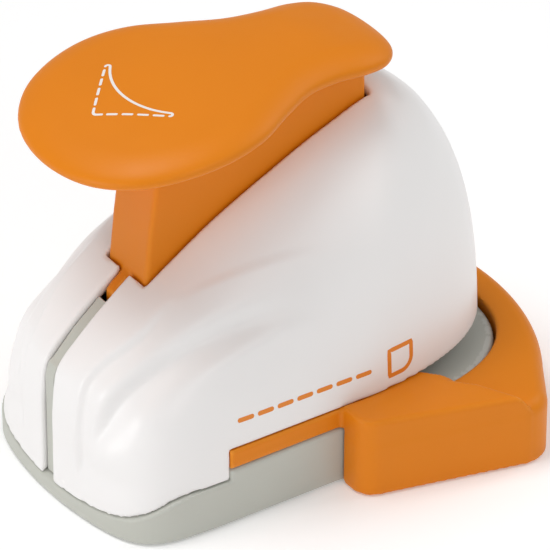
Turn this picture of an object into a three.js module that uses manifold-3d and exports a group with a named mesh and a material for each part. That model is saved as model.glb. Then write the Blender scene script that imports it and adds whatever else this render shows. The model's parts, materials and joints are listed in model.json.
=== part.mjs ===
// Lever-operated paper corner rounder. Millimetres, +Z up, +X towards the back where the paper goes in,
// origin on the table in the middle of the overall length.
import * as THREE from 'three';
import Module from 'manifold-3d';

const wasm = await Module();
wasm.setup();

// ---------- Driving dimensions ----------
const LENGTH = 120;
const HALF_WIDTH = 32.8;
const UNDERSIDE = 0.4;
const GAP = 0.3;

const FRONT = -LENGTH / 2;
const BACK = LENGTH / 2;
// How far a cutting shape reaches past what it cuts.
const BEYOND = 5;
const TALL = 120;
// Sides of a round bar or hole, and of a small one.
const ROUND = 16;
const SMALL_ROUND = 12;

// Base
const BASE_WALL = 2.4;
const FRONT_DECK = 11.4;
const DECK = 14.2;
const SEAM_FRONT = 4.0;
const SEAM_SLOPE = 0.5;
const STEP_X = -33.2;
const BASE_BACK = { x: 5, length: 45.6, halfWidth: 33.9, power: 2.8 };
const COVER_TOP = 3.2;
const COVER_GAP = 0.35;
const FLOOR = -1;
const CHUTE = { front: -15, back: 7, halfWidth: 17, floor: 5 };
const FOOT = { radius: 5, height: 1.45, chamfer: 0.6, recess: 1.5 };

// Housing
const WALL = 2.6;
const HOUSING_BOTTOM = 19.4;
const FAN_X = -5;
const FRONT_BOW = 95;
const NARROW_SLOT = 1.95;
const WIDE_SLOT = 7.9;
const WIDE_SLOT_FRONT = -38.9;
const WIDE_SLOT_BACK = 20.2;
// The line over the crown from the front foot to the back foot, as x and z.
const CROWN = [
  [FRONT, 0], [-59.9, 14], [-59.6, 26], [-57.6, 34.2], [-52, 40.6], [-38.6, 51.4], [-24, 61.1],
  [-8, 69.4], [8, 76.6], [22, 80.8], [32, 76.4], [39, 67.6], [44.5, 55.2], [47.8, 40], [49.2, 22], [49.4, 0],
];

// Corner guide
const STRIP_BOTTOM = 14.6;
const STRIP_TOP = 19.1;
// The wing tops slope gently down towards the back.
const WING_FRONT = { x: -10, z: 20.15 };
const WING_BACK = { x: BACK, z: 17.5 };
const RING_TOP = 15.8;
const VEE_X = -10.3;
const GUIDE_WALL = 2.6;
const VEE_SPAN = 38.9;
const RING_CENTRE = -2.6;
// The angle round the ring's centre where the ring runs into the wings.
const RING_START = 0.613;
const WING_EDGE = -3.9;
const FIT = 0.4;
const PLATE_GAP = 0.2;

// Punch and die
const DIE = { front: -18, back: 10, halfWidth: 25 };
const DIE_BOTTOM = 13.2;
const DIE_TOP = 15.7;
const STRIPPER_BOTTOM = 17.3;
const STRIPPER_TOP = 19.2;
const CUT_LEG = 18;
const CUT_CLEARANCE = 0.15;
const BLOCK_TOP = 33;
const FLANGE_TOP = 22.4;
const PLUNGER = { front: -12.6, back: 4.6, halfWidth: 14.6 };
const PLUNGER_BOTTOM = 26;
const PLUNGER_FLANGE = 39;
const PLUNGER_TOP = 42;
const PLUNGER_GAP = 0.4;
const CUTTER_TIP = 18;
const WEAR_TOP = 44.8;
const SPRING = { x: -4, y: 21, coil: 2.6, wire: 0.55, turns: 6 };

// Lever
const PIVOT = { x: 25.5, z: 65 };
const PIN = 2.5;
const PIN_REACH = 14;
const ARM = 7.5;
// Half the width of the thin web that runs forward in the narrow slot.
const ARM_WEB = 1.5;
const NOSE = { x: -4, radius: 4 };
const CHEEK = { inner: 9.2, outer: 11.7 };
const CHASSIS_FLOOR = { bottom: 19.5, top: 22.5 };
const BUSH_RADIUS = 3.6;
const CLIP = { y: 12.7, radius: 4, thickness: 0.9 };
const HEAD_TIP = -59;
const HEAD_TAIL = 26;
const HEAD_THICK = 6;
const HEAD_EDGE = 7.4;
const HEAD_CROWN = 1.3;
const HEAD_ARCH = { x: -5, z: 89.2, radius: 208 };
// Half of the palm rest's outline, from the tip to the tail, as x and y.
const HEAD_OUTLINE = [
  [HEAD_TIP, 0], [-56.3, 13.8], [-49.5, 23], [-40.6, 27.7], [-30.6, 29.2], [-20.7, 27.3], [-10.8, 22],
  [-1.8, 17.6], [6.1, 16.3], [14.1, 16.3], [20, 14.7], [24.4, 9.8], [HEAD_TAIL, 0],
];

// Screws
const SCREW_HEAD = 2.4;
const SCREW_HEAD_HEIGHT = 1.6;
const SCREW_SHANK = 1.2;
const SCREW_HOLE = 1.55;
const BOSS = 3;
// Heights where screw heads seat and where the screw holes end.
const COVER_SEAT = 2.2;
const FRONT_SEAT = 6.5;
const REAR_SEAT = 21.3;
const FRONT_PILOT = 21;
const REAR_PILOT = 32;
const REAR_BOSS = 22.8;
const DIE_SCREWS = [[-14.5, 21], [5, 21.5], [-14.5, -21], [5, -21.5]];
const COVER_SCREWS = [[-36, 26], [30, 22], [-36, -26], [30, -22]];
const CHASSIS_SCREWS = [[-39.5, 20.5], [-39.5, -20.5]];
const HOUSING_FRONT_SCREWS = [[-49, 17], [-49, -17]];
const HOUSING_REAR_SCREWS = [[17, 24], [17, -24]];
const FEET = [[-46, 20], [38, 16], [-46, -20], [38, -16]];

// ---------- Solids ----------
function solidOf(geometry) {
  const soup = geometry.index ? geometry.toNonIndexed() : geometry;
  const position = soup.attributes.position;
  const corners = [];
  for (let i = 0; i < position.count; i += 1) {
    corners.push([position.getX(i), position.getY(i), position.getZ(i)]);
  }
  return solidOfCorners(corners);
}

// Makes a solid from triangle corners, three points to a triangle. Corners in the same place are joined,
// and triangles that shrink to a line are left out.
function solidOfCorners(corners) {
  const seen = new Map();
  const vertices = [];
  const joined = corners.map((point) => {
    const key = point.map((value) => Math.round(value * 1e4)).join(',');
    if (!seen.has(key)) {
      seen.set(key, vertices.length / 3);
      vertices.push(...point);
    }
    return seen.get(key);
  });
  const triangles = [];
  for (let i = 0; i < joined.length; i += 3) {
    const [a, b, c] = joined.slice(i, i + 3);
    if (a !== b && b !== c && c !== a) triangles.push(a, b, c);
  }
  return new wasm.Manifold(new wasm.Mesh({
    numProp: 3,
    vertProperties: Float32Array.from(vertices),
    triVerts: Uint32Array.from(triangles),
  }));
}

// Triangle corners for a grid of points, given as rows of equal length.
function patch(rows) {
  const corners = [];
  for (let i = 0; i + 1 < rows.length; i += 1) {
    for (let j = 0; j + 1 < rows[i].length; j += 1) {
      const [a, b, c, d] = [rows[i][j], rows[i][j + 1], rows[i + 1][j + 1], rows[i + 1][j]];
      corners.push(a, b, c, a, c, d);
    }
  }
  return corners;
}

function geometryOf(solid) {
  const mesh = solid.getMesh();
  const geometry = new THREE.BufferGeometry();
  geometry.setAttribute('position', new THREE.BufferAttribute(Float32Array.from(mesh.vertProperties), 3));
  geometry.setIndex(Array.from(mesh.triVerts));
  return geometry;
}

function box(x0, x1, y0, y1, z0, z1) {
  const geometry = new THREE.BoxGeometry(x1 - x0, y1 - y0, z1 - z0);
  geometry.translate((x0 + x1) / 2, (y0 + y1) / 2, (z0 + z1) / 2);
  return solidOf(geometry);
}

function post(x, y, z0, z1, radius, segments = ROUND) {
  const geometry = new THREE.CylinderGeometry(radius, radius, z1 - z0, segments);
  geometry.rotateX(Math.PI / 2);
  geometry.translate(x, y, (z0 + z1) / 2);
  return solidOf(geometry);
}

function crossBar(x, z, y0, y1, radius, segments = ROUND) {
  const geometry = new THREE.CylinderGeometry(radius, radius, y1 - y0, segments);
  geometry.translate(x, (y0 + y1) / 2, z);
  return solidOf(geometry);
}

// An upright prism over an outline of [x, y] points.
function prism(outline, z0, z1) {
  const shape = new THREE.Shape(outline.map(([x, y]) => new THREE.Vector2(x, y)));
  const geometry = new THREE.ExtrudeGeometry(shape, { depth: z1 - z0, bevelEnabled: false });
  geometry.translate(0, 0, z0);
  return solidOf(geometry);
}

// A prism lying across the part, over a side view of [x, z] points.
function sidePrism(outline, y0, y1) {
  const shape = new THREE.Shape(outline.map(([x, z]) => new THREE.Vector2(x, z)));
  const geometry = new THREE.ExtrudeGeometry(shape, { depth: y1 - y0, bevelEnabled: false });
  geometry.rotateX(Math.PI / 2);
  geometry.translate(0, y1, 0);
  return solidOf(geometry);
}

// Rounds the corners of a polygon given as [a, b, radius]; a corner without a radius stays sharp.
function rounded(corners) {
  const points = [];
  corners.forEach(([a, b, radius], i) => {
    const corner = new THREE.Vector2(a, b);
    if (!radius) {
      points.push([a, b]);
      return;
    }
    const before = corners[(i + corners.length - 1) % corners.length];
    const after = corners[(i + 1) % corners.length];
    const inward = new THREE.Vector2(before[0], before[1]).sub(corner).normalize();
    const outward = new THREE.Vector2(after[0], after[1]).sub(corner).normalize();
    const half = Math.acos(inward.dot(outward)) / 2;
    const centre = inward.clone().add(outward).setLength(radius / Math.sin(half)).add(corner);
    const start = corner.clone().addScaledVector(inward, radius / Math.tan(half)).sub(centre);
    const turn = Math.PI - 2 * half;
    const sense = Math.sign(outward.cross(inward));
    const steps = Math.max(2, Math.ceil(turn / 0.3));
    for (let step = 0; step <= steps; step += 1) {
      const spoke = start.clone().rotateAround(new THREE.Vector2(), sense * turn * step / steps);
      points.push([centre.x + spoke.x, centre.y + spoke.y]);
    }
  });
  return points;
}

// Half an outline on the +Y side, from front to back, made whole by its mirror image.
function mirrored(half) {
  const other = half.filter(([, y]) => Math.abs(y) > 1e-6).map(([x, y]) => [x, -y]);
  return [...half, ...other.reverse()].reverse();
}

// Moves an anticlockwise outline inwards by a distance.
function inset(outline, distance) {
  return outline.map(([x, y], i) => {
    const before = outline[(i + outline.length - 1) % outline.length];
    const after = outline[(i + 1) % outline.length];
    const first = new THREE.Vector2(x - before[0], y - before[1]).normalize();
    const second = new THREE.Vector2(after[0] - x, after[1] - y).normalize();
    const along = first.clone().add(second).normalize();
    const stretch = distance / Math.max(0.3, along.dot(first));
    return [x - along.y * stretch, y + along.x * stretch];
  });
}

// ---------- Housing surface ----------
// The housing is a rounded box whose side view is the crown line. A point on it is found by an angle up
// round the fan centre and an angle across the part.
const crownLine = crownTable();

function crownTable() {
  const points = CROWN.map(([x, z]) => new THREE.Vector3(x, 0, z));
  const curve = new THREE.CatmullRomCurve3(points, false, 'centripetal');
  return curve.getPoints(300).map((point) => ({
    angle: Math.atan2(point.z, point.x - FAN_X),
    radius: Math.hypot(point.z, point.x - FAN_X),
  }));
}

function crownRadius(angle) {
  const found = crownLine.findIndex((entry) => entry.angle <= angle);
  if (found < 0) return crownLine[crownLine.length - 1].radius;
  if (found === 0) return crownLine[0].radius;
  const [high, low] = [crownLine[found - 1], crownLine[found]];
  const share = (high.angle - angle) / (high.angle - low.angle);
  return high.radius + (low.radius - high.radius) * share;
}

function smooth(low, high, value) {
  const share = Math.min(1, Math.max(0, (value - low) / (high - low)));
  return share * share * (3 - 2 * share);
}

// How far the sculpted hollow and the rib below it move the surface outwards.
function sculpture(up, across) {
  const degreesUp = THREE.MathUtils.radToDeg(up);
  const degreesAcross = Math.abs(THREE.MathUtils.radToDeg(across));
  const fade = smooth(100, 122, degreesUp) * (1 - smooth(151, 160, degreesUp));
  const hollow = 30 + 0.36 * (153 - degreesUp);
  const dip = Math.exp(-(((degreesAcross - hollow) / 5.5) ** 2));
  const rib = Math.exp(-(((degreesAcross - hollow - 13) / 7) ** 2));
  return fade * (0.6 * rib - 1.5 * dip);
}

function housingPoint(up, across, depth) {
  const power = 2.4 + 6.6 * (up / Math.PI) ** 5.5;
  const sine = Math.abs(Math.sin(across));
  const cosine = Math.abs(Math.cos(across));
  const size = (sine ** power + cosine ** power) ** (1 / power);
  const y = (HALF_WIDTH - depth) * Math.sign(across) * sine / size;
  const bow = smooth(2.2, 2.7, up) * y * y / (2 * FRONT_BOW * crownRadius(up));
  const relief = depth > 0 ? 0 : sculpture(up, across);
  const radius = (crownRadius(up) - depth + relief) * (1 - bow) * cosine / size;
  return [FAN_X + radius * Math.cos(up), y, radius * Math.sin(up)];
}

function housingSolid(depth, upSteps, acrossSteps) {
  const rows = [];
  for (let i = 0; i <= upSteps; i += 1) {
    const row = [];
    for (let j = 0; j <= acrossSteps; j += 1) {
      row.push(housingPoint(Math.PI * i / upSteps, Math.PI * (j / acrossSteps - 0.5), depth));
    }
    rows.push(row);
  }
  return solidOfCorners([...patch(rows), ...patch([rows[upSteps], rows[0]])]);
}

// The line where the housing meets the base, as a side view, raised by a lift.
function seam(lift) {
  const level = FRONT_DECK + lift;
  return [[FRONT - BEYOND, SEAM_FRONT + lift - BEYOND * SEAM_SLOPE], [seamTopX(), level], [STEP_X, level]];
}

function seamTopX() {
  return FRONT + (FRONT_DECK - SEAM_FRONT) / SEAM_SLOPE;
}

function housing() {
  const keep = sidePrism([...seam(GAP), [STEP_X, HOUSING_BOTTOM], [BACK, HOUSING_BOTTOM], [BACK, TALL],
    [FRONT - BEYOND, TALL]], -HALF_WIDTH - BEYOND, HALF_WIDTH + BEYOND);
  const outside = housingSolid(0, 46, 30);
  const inside = housingSolid(WALL, 24, 16);
  const bosses = [...HOUSING_FRONT_SCREWS, ...HOUSING_REAR_SCREWS]
    .map(([x, y]) => post(x, y, x < 0 ? FRONT_DECK + 0.5 : REAR_BOSS, TALL, BOSS, SMALL_ROUND))
    .reduce((sum, boss) => sum.add(boss));
  const holes = [...HOUSING_FRONT_SCREWS, ...HOUSING_REAR_SCREWS]
    .map(([x, y]) => post(x, y, FLOOR, x < 0 ? FRONT_PILOT : REAR_PILOT, SCREW_HOLE, SMALL_ROUND))
    .reduce((sum, hole) => sum.add(hole));
  const narrow = box(FRONT - BEYOND, WIDE_SLOT_FRONT + 3, -NARROW_SLOT, NARROW_SLOT, FLOOR, TALL);
  const wide = prism(rounded([
    [WIDE_SLOT_FRONT, -WIDE_SLOT, 0.8], [WIDE_SLOT_BACK, -WIDE_SLOT, 1],
    [WIDE_SLOT_BACK, WIDE_SLOT, 1], [WIDE_SLOT_FRONT, WIDE_SLOT, 0.8],
  ]), 30, TALL);
  return outside.subtract(inside.subtract(bosses)).intersect(keep).subtract(holes)
    .subtract(narrow).subtract(wide);
}

// ---------- Base ----------
function baseOutline() {
  const frontSteps = 16;
  const backSteps = 14;
  const half = [];
  // The sides run straight, so the steps along them are left out.
  for (let i = 0; i <= frontSteps; i += i === 11 ? 5 : 1) {
    const [x, y] = housingPoint(Math.PI, Math.PI / 2 * i / frontSteps, 0);
    half.push([x, y]);
  }
  const { x: middle, length, halfWidth, power } = BASE_BACK;
  for (let i = 0; i <= backSteps; i += 1) {
    const angle = Math.PI / 2 * (1 - i / backSteps);
    const size = (Math.sin(angle) ** power + Math.cos(angle) ** power) ** (1 / power);
    half.push([middle + length * Math.cos(angle) / size, halfWidth * Math.sin(angle) / size]);
  }
  half[0][1] = 0;
  half[half.length - 1][1] = 0;
  return mirrored(half);
}

function deckProfile(drop) {
  const below = -BEYOND;
  return [...seam(-drop), [STEP_X, DECK - drop], [BACK, DECK - drop], [BACK, below], [FRONT - BEYOND, below]]
    .reverse();
}

function baseShell() {
  const outline = baseOutline();
  const reach = HALF_WIDTH + BEYOND;
  const body = prism(outline, UNDERSIDE, DECK).intersect(sidePrism(deckProfile(0), -reach, reach));
  const cavity = prism(inset(outline, BASE_WALL), FLOOR, DECK)
    .intersect(sidePrism(deckProfile(BASE_WALL), -reach, reach));
  const bosses = [...COVER_SCREWS, ...DIE_SCREWS]
    .map(([x, y]) => post(x, y, COVER_TOP + PLATE_GAP, DECK - 1, BOSS, SMALL_ROUND))
    .concat(HOUSING_FRONT_SCREWS.map(([x, y]) => post(x, y, FRONT_SEAT, DECK, BOSS, SMALL_ROUND)))
    .reduce((sum, boss) => sum.add(boss));
  const holes = [...DIE_SCREWS, ...CHASSIS_SCREWS, ...HOUSING_FRONT_SCREWS]
    .map(([x, y]) => post(x, y, COVER_TOP, TALL, SCREW_HOLE, SMALL_ROUND))
    .concat(COVER_SCREWS.map(([x, y]) => post(x, y, 0, FRONT_DECK - 1.4, SCREW_HOLE, SMALL_ROUND)))
    .concat(HOUSING_FRONT_SCREWS
      .map(([x, y]) => post(x, y, COVER_TOP, FRONT_SEAT, SCREW_HEAD + GAP, SMALL_ROUND)))
    .reduce((sum, hole) => sum.add(hole));
  const pocket = dieSpace(DIE_BOTTOM, DECK + 1);
  const chute = box(CHUTE.front, CHUTE.back, -CHUTE.halfWidth, CHUTE.halfWidth, CHUTE.floor, DECK);
  return body.subtract(cavity.subtract(bosses)).subtract(holes).subtract(pocket).subtract(chute);
}

function bottomCover() {
  const plate = prism(inset(baseOutline(), BASE_WALL + COVER_GAP), UNDERSIDE, COVER_TOP)
    .intersect(sidePrism(deckProfile(BASE_WALL + COVER_GAP), -HALF_WIDTH - BEYOND, HALF_WIDTH + BEYOND));
  const cuts = COVER_SCREWS
    .flatMap(([x, y]) => [
      post(x, y, 0, COVER_SEAT, SCREW_HEAD + GAP, SMALL_ROUND),
      post(x, y, 0, 2 * COVER_TOP, SCREW_HOLE, SMALL_ROUND),
    ])
    .concat(FEET.map(([x, y]) => post(x, y, 0, FOOT.recess, FOOT.radius + FIT)))
    .reduce((sum, cut) => sum.add(cut));
  return plate.subtract(cuts);
}

function rubberFoot([x, y]) {
  const { radius, height, chamfer } = FOOT;
  const profile = [[0, 0], [radius - chamfer, 0], [radius, chamfer], [radius, height], [0, height]];
  return turned(profile, x, y, ROUND);
}

// A solid of revolution about an upright axis through x, y.
function turned(profile, x, y, segments) {
  const points = profile.map(([radius, z]) => new THREE.Vector2(radius, z));
  const geometry = new THREE.LatheGeometry(points, segments);
  geometry.rotateX(Math.PI / 2);
  geometry.translate(x, y, 0);
  return solidOf(geometry);
}

// A pan-head screw along Z: its head starts at z and its shank points up (1) or down (-1).
function screw([x, y], z, reach, sense) {
  const socket = 0.9;
  const profile = [
    [0, socket], [1, socket], [1, 0], [SCREW_HEAD - 0.4, 0], [SCREW_HEAD, 0.5],
    [SCREW_HEAD, SCREW_HEAD_HEIGHT], [SCREW_SHANK, SCREW_HEAD_HEIGHT],
    [SCREW_SHANK, reach - 1], [0, reach],
  ];
  const points = profile.map(([radius, height]) => new THREE.Vector2(radius, height));
  const geometry = new THREE.LatheGeometry(points, 10);
  geometry.rotateX(sense > 0 ? Math.PI / 2 : -Math.PI / 2);
  geometry.translate(x, y, z);
  return solidOf(geometry);
}

// ---------- Corner guide ----------
function guideOutline() {
  const ringRadius = BACK - RING_CENTRE;
  const steps = 12;
  const arc = [];
  for (let i = 0; i < steps; i += 1) {
    const angle = RING_START * (1 - i / steps);
    arc.push([RING_CENTRE + ringRadius * Math.cos(angle), ringRadius * Math.sin(angle)]);
  }
  const wing = rounded([[WING_EDGE, 20], [WING_EDGE, 41, 5], [38.6, 51.8, 7.5], arc[0]]).slice(1, -1);
  return mirrored([[WING_EDGE, 0], ...wing, ...arc, [BACK, 0]]);
}

// The region behind the two guide walls, where the paper lies.
function paperRegion(shift) {
  const tip = VEE_X + shift;
  const outer = 60;
  const beyond = BACK + 20;
  return mirrored([
    [tip, 0], [tip + VEE_SPAN, VEE_SPAN], [tip + VEE_SPAN + 11.3, outer], [beyond, outer], [beyond, 0],
  ]);
}

function cornerGuide() {
  const outline = guideOutline();
  const innerRing = inset(baseOutline(), -FIT);
  const slope = sidePrism([
    [WING_FRONT.x, FLOOR], [WING_BACK.x, FLOOR], [WING_BACK.x, WING_BACK.z], [WING_FRONT.x, WING_FRONT.z],
  ], -TALL, TALL);
  const wings = prism(outline, UNDERSIDE, TALL).intersect(slope);
  const strip = prism(baseOutline(), STRIP_BOTTOM, STRIP_TOP)
    .intersect(box(STEP_X + GAP, 3, -TALL, TALL, 0, TALL));
  const overRing = prism(paperRegion(0), RING_TOP, TALL);
  const throat = prism(paperRegion(0), FLOOR, TALL).intersect(prism(innerRing, FLOOR, TALL));
  const seat = prism(innerRing, FLOOR, STRIP_BOTTOM);
  const underHousing = housingSolid(-FIT, 30, 24).intersect(box(FRONT, BACK, -TALL, TALL, STRIP_TOP + 0.1, TALL));
  const hollow = prism(inset(outline, GUIDE_WALL), FLOOR, RING_TOP - GUIDE_WALL)
    .add(prism(inset(outline, GUIDE_WALL), FLOOR, WING_BACK.z - GUIDE_WALL)
      .subtract(prism(paperRegion(-GUIDE_WALL), 2 * FLOOR, TALL)))
    .subtract(prism(inset(innerRing, -GUIDE_WALL), 2 * FLOOR, TALL));
  const plates = dieSpace(FLOOR, DIE_TOP + PLATE_GAP).add(dieSpace(STRIPPER_BOTTOM - PLATE_GAP, TALL));
  const holes = DIE_SCREWS.map(([x, y]) => post(x, y, 0, TALL, SCREW_HOLE + PLATE_GAP, SMALL_ROUND))
    .reduce((sum, hole) => sum.add(hole));
  const cutPath = prism(cutShape(FIT), 0, TALL);
  return wings.add(strip).subtract(overRing).subtract(throat).subtract(seat).subtract(underHousing)
    .subtract(hollow).subtract(plates).subtract(holes).subtract(cutPath);
}

// ---------- Punch and die ----------
function dieSpace(z0, z1) {
  const halfWidth = DIE.halfWidth + GAP;
  return box(DIE.front - GAP, DIE.back + GAP, -halfWidth, halfWidth, z0, z1);
}

// The sliver that is cut away: two straight legs from the corner and a round side between their ends.
function cutShape(grow) {
  const reach = CUT_LEG / Math.SQRT2;
  const centre = VEE_X + CUT_LEG * Math.SQRT2;
  const radius = CUT_LEG - grow;
  const points = [];
  for (let i = 0; i <= 12; i += 1) {
    const angle = Math.PI * (0.75 + 0.5 * i / 12);
    points.push([centre + radius * Math.cos(angle), radius * Math.sin(angle)]);
  }
  const tip = VEE_X - 1.2 - grow * Math.SQRT2;
  const end = VEE_X + reach;
  const side = reach + 1.2 + grow;
  return [...points, [end - 0.6, -side], [tip, 0], [end - 0.6, side]].reverse();
}

function platePlan(z0, z1) {
  const corners = [
    [DIE.front, -DIE.halfWidth, 2], [DIE.back, -DIE.halfWidth, 2],
    [DIE.back, DIE.halfWidth, 2], [DIE.front, DIE.halfWidth, 2],
  ];
  const holes = DIE_SCREWS.map(([x, y]) => post(x, y, 0, TALL, SCREW_HOLE, SMALL_ROUND))
    .reduce((sum, hole) => sum.add(hole));
  return prism(rounded(corners), z0, z1).subtract(holes);
}

function diePlate() {
  return platePlan(DIE_BOTTOM, DIE_TOP).subtract(prism(cutShape(CUT_CLEARANCE), 0, TALL));
}

function stripperPlate() {
  return platePlan(STRIPPER_BOTTOM, STRIPPER_TOP).subtract(prism(cutShape(CUT_CLEARANCE), 0, TALL));
}

function guideBlock() {
  const { front, back, halfWidth } = PLUNGER;
  const body = box(front - 4, back + 4, -halfWidth - 3, halfWidth + 3, STRIPPER_TOP, BLOCK_TOP);
  const well = box(front - PLUNGER_GAP, back + PLUNGER_GAP, -halfWidth - PLUNGER_GAP,
    halfWidth + PLUNGER_GAP, 0, TALL);
  return platePlan(STRIPPER_TOP, FLANGE_TOP).add(body).subtract(well);
}

function plunger() {
  const { front, back, halfWidth } = PLUNGER;
  const block = box(front, back, -halfWidth, halfWidth, PLUNGER_BOTTOM, PLUNGER_TOP);
  const arms = prism(rounded([
    [SPRING.x - 4.5, -SPRING.y - 4, 4], [SPRING.x + 4.5, -SPRING.y - 4, 4],
    [SPRING.x + 4.5, SPRING.y + 4, 4], [SPRING.x - 4.5, SPRING.y + 4, 4],
  ]), PLUNGER_FLANGE, PLUNGER_TOP);
  const holes = punchScrews().map((place) => post(...place, PLUNGER_BOTTOM - 1, TALL, SCREW_HOLE, SMALL_ROUND))
    .concat(punchScrews().map((place) => post(...place, PLUNGER_TOP - 2, TALL, SCREW_HEAD + GAP, SMALL_ROUND)))
    .reduce((sum, hole) => sum.add(hole));
  return block.add(arms).subtract(holes);
}

function punchScrews() {
  return [[-5.2, 2.9], [-5.2, -2.9]];
}

function punchCutter() {
  const pilotEnd = PLUNGER_BOTTOM - 5;
  const pilots = punchScrews().map((place) => post(...place, pilotEnd, TALL, SCREW_HOLE, SMALL_ROUND));
  return prism(cutShape(0), CUTTER_TIP, PLUNGER_BOTTOM)
    .subtract(pilots[0]).subtract(pilots[1]);
}

function wearPlate() {
  return prism(rounded([[-12, -5.5, 1.5], [8, -5.5, 1.5], [8, 5.5, 1.5], [-12, 5.5, 1.5]]),
    PLUNGER_TOP, WEAR_TOP);
}

class Coil extends THREE.Curve {
  constructor(radius, bottom, top, turns) {
    super();
    Object.assign(this, { radius, bottom, top, turns });
  }

  getPoint(share, target = new THREE.Vector3()) {
    const angle = share * this.turns * 2 * Math.PI;
    const height = this.bottom + (this.top - this.bottom) * share;
    return target.set(this.radius * Math.cos(angle), this.radius * Math.sin(angle), height);
  }
}

function returnSpring(side) {
  const { x, y, coil, wire, turns } = SPRING;
  const path = new Coil(coil, FLANGE_TOP + wire + 0.1, PLUNGER_FLANGE - wire - 0.1, turns);
  const section = new THREE.Shape();
  section.absarc(0, 0, wire, 0, 2 * Math.PI);
  const geometry = new THREE.ExtrudeGeometry(section, {
    steps: turns * 8, curveSegments: 3, bevelEnabled: false, extrudePath: path,
  });
  geometry.translate(x, side * y, 0);
  return solidOf(geometry);
}

function springPost(side) {
  const profile = [[0, FLANGE_TOP], [1.6, FLANGE_TOP], [1.6, 30], [1.1, 30.6], [0, 30.6]];
  return turned(profile, SPRING.x, side * SPRING.y, SMALL_ROUND);
}

// ---------- Inner frame ----------
function chassis() {
  const space = housingSolid(WALL + 2 * GAP, 24, 16);
  const { top: floorTop, bottom: floorBottom } = CHASSIS_FLOOR;
  const floor = box(-46, BACK, -TALL, TALL, floorBottom, floorTop).subtract(
    box(DIE.front - 1, DIE.back + 1, -DIE.halfWidth - 0.6, DIE.halfWidth + 0.6, 0, TALL),
  );
  const legs = [-1, 1].map((side) => box(-44, -35, Math.min(15 * side, 26 * side),
    Math.max(15 * side, 26 * side), FRONT_DECK, floorTop));
  const cheekShape = rounded([
    [13, floorBottom], [41, floorBottom], [41, 30, 6], [PIVOT.x + 5.5, PIVOT.z + 2, 3],
    [PIVOT.x + 3, PIVOT.z + 5.5, 3], [PIVOT.x - 3, PIVOT.z + 5.5, 3], [PIVOT.x - 5.5, PIVOT.z - 2, 4],
  ]);
  const cheeks = [-1, 1].map((side) => sidePrism(cheekShape,
    Math.min(side * CHEEK.inner, side * CHEEK.outer), Math.max(side * CHEEK.inner, side * CHEEK.outer)));
  const tie = box(36, 39, -CHEEK.inner, CHEEK.inner, floorBottom, 34);
  const solid = [floor, ...legs, ...cheeks, tie].reduce((sum, piece) => sum.add(piece)).intersect(space);
  const holes = CHASSIS_SCREWS.map(([x, y]) => post(x, y, 0, FRONT_DECK + 6, SCREW_HOLE, SMALL_ROUND))
    .concat(HOUSING_REAR_SCREWS.map(([x, y]) => post(x, y, 0, TALL, SCREW_HOLE, SMALL_ROUND)))
    .concat(HOUSING_REAR_SCREWS.map(([x, y]) => post(x, y, 0, REAR_SEAT, SCREW_HEAD + GAP, SMALL_ROUND)))
    .concat([crossBar(PIVOT.x, PIVOT.z, -TALL, TALL, BUSH_RADIUS + GAP)])
    .reduce((sum, hole) => sum.add(hole));
  return solid.subtract(holes);
}

function frontRib() {
  const front = -58.9;
  const back = -46.2;
  const foot = (x) => SEAM_FRONT + SEAM_SLOPE * (x - FRONT) + GAP;
  const outline = [
    [front, foot(front)], [back, foot(back)], [back, 41.5], [-44.5, 43], [-44.5, 45.5], [-51.4, 39.8],
    [-57, 33.9], [-57.9, 33.4], [front, 30.4],
  ];
  return sidePrism(outline, -NARROW_SLOT + 0.25, NARROW_SLOT - 0.25);
}

function pivotBush(side) {
  const [low, high] = side > 0 ? [CHEEK.inner - 0.8, CHEEK.outer] : [-CHEEK.outer, -CHEEK.inner + 0.8];
  const sleeve = crossBar(PIVOT.x, PIVOT.z, low, high, BUSH_RADIUS);
  return sleeve.subtract(crossBar(PIVOT.x, PIVOT.z, -TALL, TALL, PIN + 0.2));
}

function pivotPin() {
  const pin = crossBar(PIVOT.x, PIVOT.z, -PIN_REACH, PIN_REACH, PIN);
  const half = CLIP.thickness / 2 + 0.15;
  const grooves = [-1, 1].map((side) => {
    const ring = crossBar(PIVOT.x, PIVOT.z, side * CLIP.y - half, side * CLIP.y + half, PIN + 1);
    return ring.subtract(crossBar(PIVOT.x, PIVOT.z, -TALL, TALL, PIN - 0.6));
  });
  return pin.subtract(grooves[0]).subtract(grooves[1]);
}

function pivotClip(side) {
  const half = CLIP.thickness / 2;
  const disc = crossBar(PIVOT.x, PIVOT.z, side * CLIP.y - half, side * CLIP.y + half, CLIP.radius);
  const bore = crossBar(PIVOT.x, PIVOT.z, -TALL, TALL, PIN - 0.5);
  const mouth = box(PIVOT.x - 1.6, PIVOT.x + 1.6, -TALL, TALL, PIVOT.z - 8, PIVOT.z);
  return disc.subtract(bore).subtract(mouth);
}

// ---------- Lever ----------
// The underside of the palm rest arches gently along its length.
function headBottom(x) {
  return HEAD_ARCH.z - (x - HEAD_ARCH.x) ** 2 / (2 * HEAD_ARCH.radius);
}

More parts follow.
